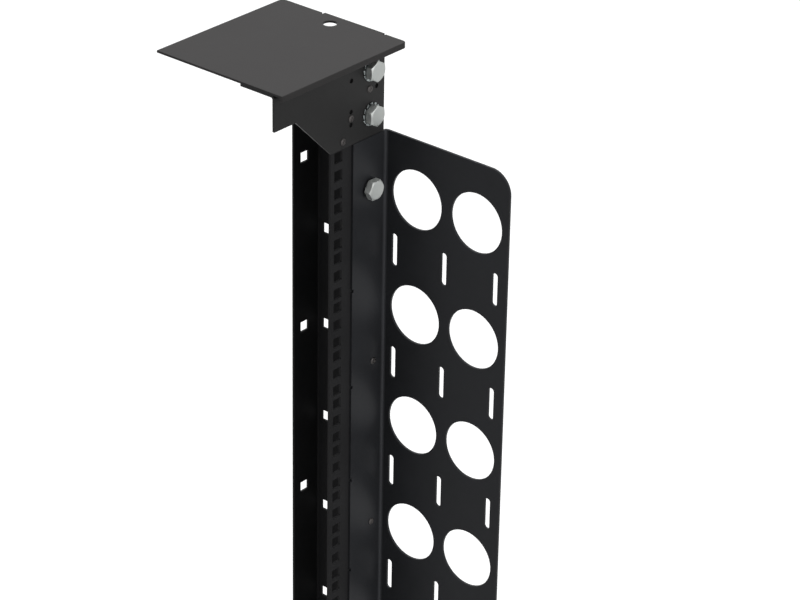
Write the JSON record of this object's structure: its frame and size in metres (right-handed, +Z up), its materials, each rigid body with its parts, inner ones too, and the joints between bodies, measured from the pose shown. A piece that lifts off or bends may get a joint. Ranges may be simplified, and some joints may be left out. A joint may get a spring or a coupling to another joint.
{
  "type": "rack frame corner with vertical cable panel",
  "caption": "Front corner of an open rack frame: punched post, vertical cable panel with round cable holes and strap slots, head cross bar and roof plate.",
  "frame": {"origin": "middle of the two base fixings, on the front face of the post", "axes": "+X out of the rack, +Y to its back, +Z up the post"},
  "size_m": [0.1461, 0.2506, 0.7638],
  "materials": {
    "black_coat": "satin black powder coat",
    "zinc": "bright zinc"
  },
  "bodies": {
    "root": {"post": "black_coat", "cable_panel": "black_coat", "cross_bar": "black_coat", "roof_plate": "black_coat", "bolt_head_lower": "zinc", "washer_head_lower": "zinc", "nut_head_lower": "zinc", "bolt_head_upper": "zinc", "washer_head_upper": "zinc", "nut_head_upper": "zinc", "bolt_panel_top": "zinc", "washer_panel_top": "black_coat", "nut_panel_top": "zinc", "bolt_panel_bottom": "zinc", "washer_panel_bottom": "black_coat", "nut_panel_bottom": "zinc", "panel_rivets": "zinc", "bar_rivets": "zinc"}
  },
  "joints": []
}
